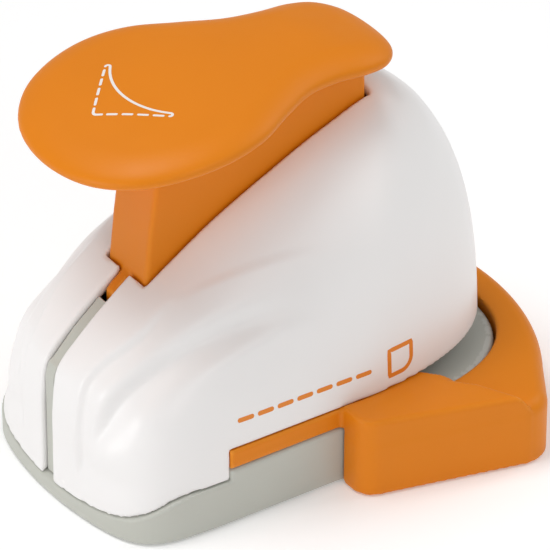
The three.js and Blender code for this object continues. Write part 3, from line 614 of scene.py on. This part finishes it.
def guide_field(x, y, z):
    """Wings and ring, hollow below, cut out round the base, with the strip that runs under the housing."""
    outline = guide_distance(x, y)
    vee = vee_distance(x, y)
    ring_bore = base_distance(x, y) - 0.4
    wings = guide_wings(x, z, outline, vee, ring_bore)
    ring = meet(outline, z - RING_TOP, RING_EDGE)
    strip = meet(base_distance(x, y), slab(x, STEP_X + GAP / 2, 3))
    strip = meet(strip, slab(z, STRIP_BOTTOM, STRIP_TOP), 0.2)
    under_ring = meet(outline + GUIDE_WALL, z - RING_TOP + GUIDE_WALL)
    under_wings = meet(meet(outline + GUIDE_WALL, z - WING_UNDERSIDE), GUIDE_WALL - vee)
    hollow = cut(join(under_ring, under_wings), ring_bore - GUIDE_WALL, 0.5)
    throat = meet(vee, ring_bore)
    solid = cut(join(wings, ring, 0.4), hollow, 0.3)
    solid = cut(solid, throat, 0.6)
    solid = cut(solid, meet(ring_bore, z - STRIP_BOTTOM), 0.3)
    solid = cut(join(solid, strip, 0.8), throat, 0.4)
    solid = cut(solid, meet(housing_distance(x, y, z) - 0.4, STRIP_TOP + 0.1 - z), 0.2)
    plates = cut(die_space(x, y, GAP), slab(z, DIE_HIGH[2] + 0.2, DIE_HIGH[2] + 1.4))
    solid = cut(cut(solid, plates, 0.1), cut_distance(x, y) - 0.4, 0.1)
    for place in DIE_SCREWS:
        solid = cut(solid, post(x, y, place, SCREW_HOLE + 0.2), 0.1)
    return meet(solid, UNDERSIDE - z, 0.4)


# ---------- Lever ----------
HEAD_CURVE = spline(HEAD_OUTLINE + [(x, -y) for x, y in HEAD_OUTLINE[-2:0:-1]], True, 360)
head_distance = outline_distance(HEAD_CURVE)


def head_bottom(x):
    """The height of the palm rest's arched underside."""
    middle, top, radius = HEAD_ARCH
    return top - (x - middle) ** 2 / (2 * radius)


HEAD_SIDE = HEAD_CURVE[HEAD_CURVE[:, 1] >= 0]
HEAD_SIDE = HEAD_SIDE[np.argsort(HEAD_SIDE[:, 0])]


def head_fullness(x, y):
    """The share of the crown's height: 1 on the centre line, 0 at the outline and both ends."""
    half_width = np.maximum(np.interp(x, HEAD_SIDE[:, 0], HEAD_SIDE[:, 1]), 4)
    fade = 20
    ends = smooth(HEAD_LOW[0], HEAD_LOW[0] + fade, x) * (1 - smooth(HEAD_HIGH[0] - fade, HEAD_HIGH[0], x))
    return (1 - np.minimum(np.abs(y) / half_width, 1) ** 2) * ends


def head_level(x, y, z):
    """Zero on the palm rest: a slab with a full elliptic rim and a slightly crowned top."""
    rim = np.maximum(1 + head_distance(x, y) / HEAD_EDGE, 0)
    half = HEAD_THICK / 2
    height = z - head_bottom(x) - half
    height = height / np.where(height > 0, half + HEAD_CROWN * head_fullness(x, y), half)
    return np.hypot(rim, height) - 1


def head_field(x, y, z):
    """The palm rest, with blind holes for its screws."""
    solid = scaled(head_level, x, y, z)
    for place in HEAD_SCREWS:
        hole = meet(post(x, y, place, SCREW_HOLE), z - head_bottom(x) - 3.6)
        solid = cut(solid, hole, 0.1)
    return solid


def joint_named(name):
    """The frame's joint of that name."""
    return next(joint for joint in frame["joints"] if joint["name"] == name)


PIVOT = np.array(joint_named("lever_press")["pos_m"])[[0, 2]] / MM


def arm_side():
    """The lever arm seen from the side, as x and z: pillar, nose over the plunger, boss round the pivot."""
    px, pz = PIVOT
    under_head = [(x, head_bottom(x) - ARM_TO_HEAD) for x in (19.2, 4, -15, -33.6)]
    return rounded([
        (ARM_FRONT, ARM_FOOT, 1.5), (-27.5, ARM_FOOT, 2), (-24, 50.5, 6), (NOSE_X - 8, 50.5, 3),
        (NOSE_X - 4, NOSE_BOTTOM, 3.2), (NOSE_X + 4, NOSE_BOTTOM, 3.2), (NOSE_X + 9, 52, 4),
        (px - 6, pz - 7.5, 6), (px + 2, pz - 6, 5), (px + 6.2, pz, 5), (px + 3, pz + 6, 4), (19.3, 72, 0.8),
        *under_head, (-37.2, 62, 30), (ARM_FRONT, 50, 20),
    ])


arm_distance = outline_distance(arm_side())
ARM_ROOF = head_bottom(-34) - ARM_TO_HEAD - ARM_WALL
arm_front_hollow = outline_distance([
    (-36.4, 30), (NOSE_X - 7, 30), (NOSE_X - 7, ARM_ROOF), (-31.6, ARM_ROOF), (-35, 62),
])
arm_back_hollow = outline_distance([(NOSE_X + 7, 40), (16, 40), (16, ARM_ROOF), (NOSE_X + 7, ARM_ROOF)])
web_distance = outline_distance(rounded([
    (ARM_LOW[0], ARM_FOOT, 0.5), (-37, ARM_FOOT), (-37, 52), (ARM_LOW[0], 47, 0.8),
]))


def arm_field(x, y, z):
    """The arm: hollow in front of the nose and behind it, with a thin web in front and the pivot's bore."""
    solid = meet(arm_distance(x, z), np.abs(y) - ARM_HIGH[1], 0.9)
    hollow = join(arm_front_hollow(x, z), arm_back_hollow(x, z))
    solid = cut(solid, meet(hollow, np.abs(y) - ARM_HIGH[1] + ARM_WALL), 0.3)
    solid = join(solid, meet(web_distance(x, z), np.abs(y) - ARM_WEB, 0.3), 0.5)
    for place in HEAD_SCREWS:
        solid = cut(solid, meet(post(x, y, place, SCREW_HOLE), 60 - z), 0.1)
    bore = np.hypot(x - PIVOT[0], z - PIVOT[1]) - PIVOT_BORE
    return cut(solid, bore, 0.1)


def rib_outline():
    """The rib seen from the side, as x and z: it stands on the front seam and follows the housing's slope."""
    front, back, top = RIB_LOW[0], -46.2, RIB_HIGH
    foot = SEAM_FRONT + GAP
    return rounded([
        (front, foot + SEAM_SLOPE * (front - FRONT)), (back, foot + SEAM_SLOPE * (back - FRONT)),
        (back, 41.5), (top[0], 43), (top[0], top[2]), (-51.4, 39.8, 20), (-57, 33.9, 3), (-57.9, 33.4),
        (front, 30.4, 4),
    ])


rib_distance = outline_distance(rib_outline())


def rib_field(x, y, z):
    """The grey rib, a plate between the two sides of the narrow slot."""
    return meet(rib_distance(x, z), np.abs(y) - RIB_HIGH[1], 0.3)


# ---------- Materials ----------
def new_material(name):
    """A node material, its nodes and links, and its shader."""
    material = bpy.data.materials.new(name)
    material.use_nodes = True
    nodes = material.node_tree.nodes
    return material, nodes, material.node_tree.links, nodes["Principled BSDF"]


def linear(hex_colour):
    """A colour written as RRGGBB, as the linear values Blender works in."""
    values = [int(hex_colour[i:i + 2], 16) / 255 for i in (0, 2, 4)]
    return [v / 12.92 if v <= 0.04045 else ((v + 0.055) / 1.055) ** 2.4 for v in values] + [1.0]


def noise(nodes, links, scale, detail, stretch=(1, 1, 1)):
    """Noise over the object's own metres; stretch above 1 makes it finer along that axis."""
    place = nodes.new("ShaderNodeTexCoord")
    mapping = nodes.new("ShaderNodeMapping")
    mapping.inputs["Scale"].default_value = stretch
    texture = nodes.new("ShaderNodeTexNoise")
    texture.inputs["Scale"].default_value = scale
    texture.inputs["Detail"].default_value = detail
    links.new(place.outputs["Object"], mapping.inputs["Vector"])
    links.new(mapping.outputs["Vector"], texture.inputs["Vector"])
    return texture.outputs["Fac"]


def ramp(nodes, links, source, low, high, start=0.3, end=0.7):
    """Spreads a source between two values."""
    spread = nodes.new("ShaderNodeMapRange")
    spread.inputs["From Min"].default_value = start
    spread.inputs["From Max"].default_value = end
    spread.inputs["To Min"].default_value = low
    spread.inputs["To Max"].default_value = high
    links.new(source, spread.inputs["Value"])
    return spread.outputs["Result"]


def blend_colours(nodes, links, share, first, second):
    """Mixes two colours, each a list of values or a socket, by a share."""
    mix = nodes.new("ShaderNodeMix")
    mix.data_type = "RGBA"
    links.new(share, mix.inputs["Factor"])
    for socket, colour in (("A", first), ("B", second)):
        target = next(s for s in mix.inputs if s.name == socket and s.type == "RGBA")
        if isinstance(colour, list):
            target.default_value = colour
        else:
            links.new(colour, target)
    return next(s for s in mix.outputs if s.type == "RGBA")


def edge_share(nodes, links, start, end):
    """Near 1 on outside edges, from the surface's own pointiness."""
    geometry = nodes.new("ShaderNodeNewGeometry")
    return ramp(nodes, links, geometry.outputs["Pointiness"], 0, 1, start, end)


def shaded(hex_colour, share):
    """A colour made darker or lighter by a share, and no brighter than white."""
    return [min(1.0, value * share) for value in linear(hex_colour)[:3]] + [1.0]


def add_grain(nodes, links, shader, height, strength, depth):
    """Bumps of that depth, in millimetres, from a height between 0 and 1."""
    grain = nodes.new("ShaderNodeBump")
    grain.inputs["Strength"].default_value = strength
    grain.inputs["Distance"].default_value = depth * MM
    links.new(height, grain.inputs["Height"])
    links.new(grain.outputs["Normal"], shader.inputs["Normal"])


def plastic(name, colour, edge_colour, roughness, grain_scale, grain_depth,
            coat=0.0, soft=0.0, mottling=0.05, shine=0.38, wear_and_highlight_start=0.53):
    """Moulded plastic: faint mottling, a fine spark-eroded grain, and edges painted paler from their
    pointiness, partly rubbing wear and partly a painted highlight on the edge radius.
    """
    material, nodes, links, shader = new_material(name)
    mottle = noise(nodes, links, 45, 3)
    darker = shaded(colour, 1 - mottling)
    body = blend_colours(nodes, links, ramp(nodes, links, mottle, 0, 1), darker, linear(colour))
    # Paler edges from pointiness: partly rubbing wear, partly a painted highlight along the edge radius.
    edge = edge_share(nodes, links, wear_and_highlight_start, wear_and_highlight_start + 0.09)
    body = blend_colours(nodes, links, edge, body, linear(edge_colour))
    links.new(body, shader.inputs["Base Color"])
    smudges = noise(nodes, links, 130, 4)
    gloss = ramp(nodes, links, smudges, roughness - mottling, roughness + mottling)
    links.new(gloss, shader.inputs["Roughness"])
    add_grain(nodes, links, shader, noise(nodes, links, grain_scale, 2), 0.5, grain_depth)
    shader.inputs["Coat Weight"].default_value = coat
    shader.inputs["Coat Roughness"].default_value = 0.2
    shader.inputs["Specular IOR Level"].default_value = shine
    shader.inputs["Subsurface Weight"].default_value = soft
    shader.inputs["Subsurface Radius"].default_value = (0.002, 0.0012, 0.0008)
    shader.inputs["Subsurface Scale"].default_value = 1.0
    return material


def rubber(name, colour):
    """Matt rubber, with dust in its pores."""
    material, nodes, links, shader = new_material(name)
    dust = ramp(nodes, links, noise(nodes, links, 300, 5), 0, 1, 0.45, 0.75)
    dusty = shaded(colour, 1.9)
    links.new(blend_colours(nodes, links, dust, linear(colour), dusty), shader.inputs["Base Color"])
    shader.inputs["Roughness"].default_value = 0.85
    shader.inputs["Sheen Weight"].default_value = 0.2
    add_grain(nodes, links, shader, noise(nodes, links, 2500, 3), 0.6, 0.04)
    return material


def steel(name, colour, roughness, stretch):
    """Ground steel: fine scratches along one way, with brighter rubbed edges."""
    material, nodes, links, shader = new_material(name)
    scratches = noise(nodes, links, 900, 6, stretch)
    grooves = ramp(nodes, links, scratches, 0, 1)
    body = blend_colours(nodes, links, grooves, shaded(colour, 0.8), linear(colour))
    edge = edge_share(nodes, links, 0.52, 0.6)
    body = blend_colours(nodes, links, edge, body, shaded(colour, 1.25))
    links.new(body, shader.inputs["Base Color"])
    shader.inputs["Metallic"].default_value = 1.0
    links.new(ramp(nodes, links, scratches, roughness - 0.06, roughness + 0.12), shader.inputs["Roughness"])
    add_grain(nodes, links, shader, scratches, 0.25, 0.01)
    return material


# The second colour of each plastic paints its edges paler: partly rubbing wear, partly a painted highlight on
# the radius.
WHITE = plastic("white_plastic_gloss", "F1EFEE", "F7F5F4", 0.34, 900, 0.012,
                coat=0.08, mottling=0.01, wear_and_highlight_start=0.56)
GREY = plastic("grey_plastic_satin", "BFC0B7", "CCCDC6", 0.42, 1400, 0.03, mottling=0.03)
ORANGE = plastic("orange_plastic_satin", "E1810C", "EE9834", 0.46, 1600, 0.03,
                 soft=0.05, mottling=0.03, shine=0.24)
DARK = plastic("dark_plastic", "4A4D50", "6A6D70", 0.5, 1500, 0.03)
BUSH = plastic("bush_plastic", "D8D6CC", "E8E6DE", 0.4, 1500, 0.02)
PRINT_LIGHT = plastic("print_pale", "EAE6E2", "EAE6E2", 0.5, 2500, 0.01)
PRINT_ORANGE = plastic("print_orange", "E5862A", "E5862A", 0.45, 2500, 0.01)
RUBBER = rubber("foot_rubber", "34363A")
TOOL_STEEL = steel("tool_steel_ground", "8D9196", 0.3, (1, 12, 12))
SCREW_STEEL = steel("screw_steel_plated", "B8BCC0", 0.28, (1, 1, 1))
SPRING_STEEL = steel("spring_steel_drawn", "A4A8AC", 0.32, (1, 1, 6))


# ---------- Moulded pieces ----------
def build_moulded():
    """The six moulded pieces, which all stand for a CAD node."""
    # The housing's own curve may stand this far outside its faceted CAD solid.
    reach = np.array([0.4, 0.4, 0.4])
    field_piece("housing", housing_field, HOUSING_LOW - reach, HOUSING_HIGH + reach, STEP, WHITE,
                "frame")
    field_piece("base_shell", base_field, BASE_LOW, BASE_HIGH, STEP, GREY, "frame")
    field_piece("corner_guide", guide_field, GUIDE_LOW, GUIDE_HIGH, STEP, ORANGE, "frame")
    field_piece("front_rib", rib_field, RIB_LOW, RIB_HIGH, FINE, GREY, "frame")
    field_piece("lever_head", head_field, HEAD_LOW, HEAD_HIGH, STEP, ORANGE, "lever")
    field_piece("lever_arm", arm_field, ARM_LOW, ARM_HIGH, STEP, ORANGE, "lever")


# ---------- Springs ----------
SPRING_WIRE = 0.55
SPRING_TURNS = 7
WIRE_SIDES = 12


def coil_rings(low, high):
    """Rings of points round the wire of a spring with closed ends, wound inside a box."""
    middle = (low + high) / 2
    radius = (high[0] - low[0]) / 2 - SPRING_WIRE
    rings_a_turn = 32
    turns = np.linspace(0, SPRING_TURNS, SPRING_TURNS * rings_a_turn + 1)
    heights = np.interp(turns, [0, 1, SPRING_TURNS - 1, SPRING_TURNS], [
        low[2] + SPRING_WIRE, low[2] + 3 * SPRING_WIRE, high[2] - 3 * SPRING_WIRE, high[2] - SPRING_WIRE,
    ])
    angles = 2 * math.pi * turns
    outward = np.stack([np.cos(angles), np.sin(angles), np.zeros(len(angles))], axis=1)
    axis = np.stack([np.full(len(angles), middle[0]), np.full(len(angles), middle[1]), heights], axis=1)
    centres = axis + outward * radius
    along = np.gradient(centres, axis=0)
    along /= np.linalg.norm(along, axis=1)[:, None]
    upward = np.cross(along, outward)
    lines = [centres + SPRING_WIRE * (outward * math.cos(a) + upward * math.sin(a))
             for a in 2 * math.pi * np.arange(WIRE_SIDES) / WIRE_SIDES]
    return np.stack(lines, axis=1)


def tube_faces(count, sides):
    """The skin of a tube through a number of rings of points, with its two ends closed."""
    faces = [(ring + k, ring + (k + 1) % sides, ring + sides + (k + 1) % sides, ring + sides + k)
             for ring in range(0, (count - 1) * sides, sides) for k in range(sides)]
    return faces + [tuple(reversed(range(sides))), tuple((count - 1) * sides + k for k in range(sides))]


def build_spring(node):
    """A return spring of round wire, wound to fill its CAD node's box."""
    low, high = box_mm(node)
    rings = coil_rings(low, high)
    faces = tube_faces(len(rings), WIRE_SIDES)
    piece = mesh_object(node + "_coil", rings.reshape(-1, 3), faces, SPRING_STEEL, 50)
    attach(piece, "frame")
    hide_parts(node)
    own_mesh(piece)


# ---------- Prints ----------
def ribbon(name, lines, width, lay, material, body):
    """Thin raised ink along open lines, with round ends. lay(places, lift) puts them on a surface."""
    lift, sink = 0.04, -0.08
    places, lifts, faces = [], [], []
    for line in lines:
        line = np.array(line, float)
        along = np.gradient(line, axis=0)
        along /= np.linalg.norm(along, axis=1)[:, None]
        across = np.stack([-along[:, 1], along[:, 0]], axis=1)
        rows = end_cap(line[0], along[0], across[0], width, -1)
        rows += [(place, side * width / 2) for place, side in zip(line, across)]
        rows += end_cap(line[-1], along[-1], across[-1], width, 1)
        start = len(places)
        for place, half in rows:
            places += [place + half, place - half, place - half, place + half]
            lifts += [lift, lift, sink, sink]
        faces += [tuple(start + corner for corner in face) for face in tube_faces(len(rows), 4)]
    points = lay(np.array(places), np.array(lifts))
    piece = mesh_object(name, points, faces, material, 30)
    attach(piece, body)
    return piece


def end_cap(place, along, across, width, sense):
    """Rows that round off one end of a ribbon."""
    radius = width / 2
    rows = [(place + along * sense * radius * math.sin(turn), across * radius * math.cos(turn))
            for turn in np.linspace(0.3, 1.35, 5)]
    return rows if sense > 0 else rows[::-1]


def straight(first, last, count=8):
    """Evenly spaced points from one point to another."""
    return np.linspace(first, last, count)


def dashes(first, last, count, share):
    """Equal dashes from one point to another."""
    first, last = np.array(first, float), np.array(last, float)
    return [straight(first + (last - first) * i / count, first + (last - first) * (i + share) / count)
            for i in range(count)]


def head_top(places, lifts):
    """Points on top of the palm rest, from x and y."""
    x, y = places.T
    rim = np.clip(1 + head_distance(x, y) / HEAD_EDGE, 0, 1)
    half = HEAD_THICK / 2
    height = half + (half + HEAD_CROWN * head_fullness(x, y)) * np.sqrt(1 - rim ** 2)
    return np.stack([x, y, head_bottom(x) + height + lifts], axis=1)


PALM_MARK_LEG = 16.0
PALM_MARK_CORNER = -46.0


def from_mark_corner(distance, side):
    """The place at that distance from the palm mark's corner, along its leg on that side."""
    offset = distance / math.sqrt(2)
    return PALM_MARK_CORNER + offset, side * offset


def round_cut_line(inset=0.5):
    """The round cut, as one line that turns back at both ends to meet the sheet's edges."""
    centre = (PALM_MARK_CORNER + (PALM_MARK_LEG + 2 * inset) * math.sqrt(2), 0)
    curve = arc_line(centre, PALM_MARK_LEG, 0.75 * math.pi, 1.25 * math.pi)
    turn_x = PALM_MARK_CORNER + (PALM_MARK_LEG + inset) / math.sqrt(2)
    turn_y = (PALM_MARK_LEG - inset) / math.sqrt(2)
    return [
        *arc_line((turn_x, turn_y), inset, 0.75 * math.pi, -0.2 * math.pi, 10),
        *curve[3:-3],
        *arc_line((turn_x, -turn_y), inset, 0.2 * math.pi, -0.75 * math.pi, 10),
    ]


def build_palm_mark():
    """The cut mark: the sheet's square corner in dashes, with the round cut across it."""
    bend = 0.8
    corner = arc_line((PALM_MARK_CORNER + bend * math.sqrt(2), 0), bend, 0.75 * math.pi, 1.25 * math.pi, 10)
    first_dash, next_dash = 1.9, 3.1
    lines = [round_cut_line(), [from_mark_corner(first_dash, 1), *corner, from_mark_corner(first_dash, -1)]]
    for side in (-1, 1):
        ends = from_mark_corner(next_dash, side), from_mark_corner(PALM_MARK_LEG, side)
        lines += dashes(*ends, 4, 0.58)
    spread, shift = 1.11, 0.6
    lines = [np.array(line) * [1, spread] + [0, shift] for line in lines]
    piece = ribbon("palm_mark", lines, 0.6, head_top, PRINT_LIGHT, "lever")


def housing_side(places, lifts):
    """Points on the housing's near side wall, from x and z."""
    x, z = places.T
    low, high = np.full(len(x), HALF_WIDTH / 2), np.full(len(x), HALF_WIDTH + 1)
    for _ in range(25):
        middle = (low + high) / 2
        inside = housing_level(x, -middle, z) < 0
        low, high = np.where(inside, middle, low), np.where(inside, high, middle)
    return np.stack([x, -low - lifts, z], axis=1)


def build_side_mark():
    """A plain generic graphic in place of lettering: a dashed line and a sheet with one round corner."""
    low, high = 22.4, 28.8
    middle = (low + high) / 2
    lines = dashes((-30, middle), (6, middle), 7, 0.6)
    left, right, radius = 9.5, 15.9, 3.0
    sheet = [*straight((left, middle), (left, low)), *straight((left + 1, low), (right - radius, low)),
             *arc_line((right - radius, low + radius), radius, -math.pi / 2, 0, 20),
             *straight((right, low + radius + 1), (right, high)), *straight((right - 1, high), (left, high)),
             *straight((left, high - 1), (left, middle))]
    lines.append(sheet)
    piece = ribbon("side_mark", lines, 1.1, housing_side, PRINT_ORANGE, "frame")


# ---------- CAD nodes that keep their shape ----------
FINISHES = {
    "bottom_cover": GREY, "rubber_foot": RUBBER, "chassis": DARK, "die_plate": TOOL_STEEL,
    "stripper_plate": TOOL_STEEL, "guide_block": DARK, "plunger": DARK, "punch_cutter": TOOL_STEEL,
    "wear_plate": TOOL_STEEL, "pivot_pin": SCREW_STEEL, "pivot_bush": BUSH, "pivot_clip": SPRING_STEEL,
    "spring_post": SCREW_STEEL,
}


def finish_of(node):
    """The material of a node, by the start of its name. What isn't listed is a screw."""
    return next((material for start, material in FINISHES.items() if node.startswith(start)), SCREW_STEEL)


def finish_cad_nodes():
    """Procedural finishes and small edge radii for the nodes whose shapes stay as they are."""
    for name, node in frame["nodes"].items():
        if node.hide_render:
            continue
        node.data.materials.clear()
        node.data.materials.append(finish_of(name))
        soften = node.modifiers.new("edge_radius", "BEVEL")
        soften.width = (0.15 if "screw" in name or "clip" in name else 0.3) * MM
        soften.segments = 2
        soften.limit_method = "ANGLE"
        soften.angle_limit = math.radians(50)
        soften.harden_normals = True


# ---------- Stage ----------
def build_floor():
    """A pale sheet of studio paper that glows a little, so that it stays white to its edges."""
    reach = 3.0
    corners = [(-reach, -reach, 0), (reach, -reach, 0), (reach, reach, 0), (-reach, reach, 0)]
    mesh = bpy.data.meshes.new("floor")
    mesh.from_pydata(corners, [], [(0, 1, 2, 3)])
    floor = bpy.data.objects.new("floor", mesh)
    bpy.context.scene.collection.objects.link(floor)
    material, nodes, links, shader = new_material("studio_paper")
    shader.inputs["Base Color"].default_value = (0.93, 0.93, 0.93, 1)
    shader.inputs["Roughness"].default_value = 0.9
    shader.inputs["Specular IOR Level"].default_value = 0.1
    shader.inputs["Emission Color"].default_value = (1, 1, 1, 1)
    shader.inputs["Emission Strength"].default_value = 0.16
    mesh.materials.append(material)


def area_light(name, place, target, size, power):
    """A softbox of that width and height in metres and power in watts, turned to its target."""
    data = bpy.data.lights.new(name, "AREA")
    data.shape = "RECTANGLE"
    data.size, data.size_y = size
    data.energy = power
    light = bpy.data.objects.new(name, data)
    light.location = place
    light.rotation_euler = (Vector(target) - Vector(place)).to_track_quat("-Z", "Y").to_euler()
    bpy.context.scene.collection.objects.link(light)


def build_lights():
    """Soft light from above, from the left, from the camera's side and from the back, and a pale surround."""
    aim = (0, 0, 0.04)
    area_light("top_softbox", (-0.25, 0.12, 0.85), aim, (0.4, 0.4), 3.5)
    area_light("left_softbox", (-0.95, 0.0, 0.14), aim, (0.3, 0.3), 1.9)
    area_light("key_softbox", (-0.05, -0.9, 0.5), aim, (0.6, 0.5), 1.6)
    area_light("back_fill", (0.8, -0.15, 0.7), aim, (0.6, 0.6), 2.2)
    world = bpy.data.worlds.new("studio")
    bpy.context.scene.world = world
    world.use_nodes = True
    world.node_tree.nodes["Background"].inputs["Color"].default_value = (1, 1, 1, 1)
    world.node_tree.nodes["Background"].inputs["Strength"].default_value = 0.36


def build_camera():
    """The photograph's viewing angle: azimuth and elevation seen from near the middle of the object."""
    azimuth, elevation = math.radians(-34.13), math.radians(32.8)
    distance = 1.110
    target = (CAD_BOX[0] + CAD_BOX[1]) / 2 + Vector((-4.2, 0, -11.05)) * MM
    level = math.cos(elevation)
    back = Vector((math.sin(azimuth) * level, -math.cos(azimuth) * level, math.sin(elevation)))
    data = bpy.data.cameras.new("camera")
    data.sensor_width = 36
    image_side, pixels_per_mm = 550, 4.516
    data.lens = distance / MM * pixels_per_mm / image_side * data.sensor_width
    data.shift_x = 0.0316
    data.shift_y = -0.0016
    data.clip_end = 20
    camera = bpy.data.objects.new("camera", data)
    camera.location = target + back * distance
    camera.rotation_euler = (-back).to_track_quat("-Z", "Y").to_euler()
    bpy.context.scene.collection.objects.link(camera)
    bpy.context.scene.camera = camera


build_moulded()
for spring in ("return_spring_1", "return_spring_2"):
    build_spring(spring)
build_palm_mark()
build_side_mark()
finish_cad_nodes()
build_floor()
build_lights()
build_camera()
bpy.context.scene.view_settings.view_transform = "Standard"
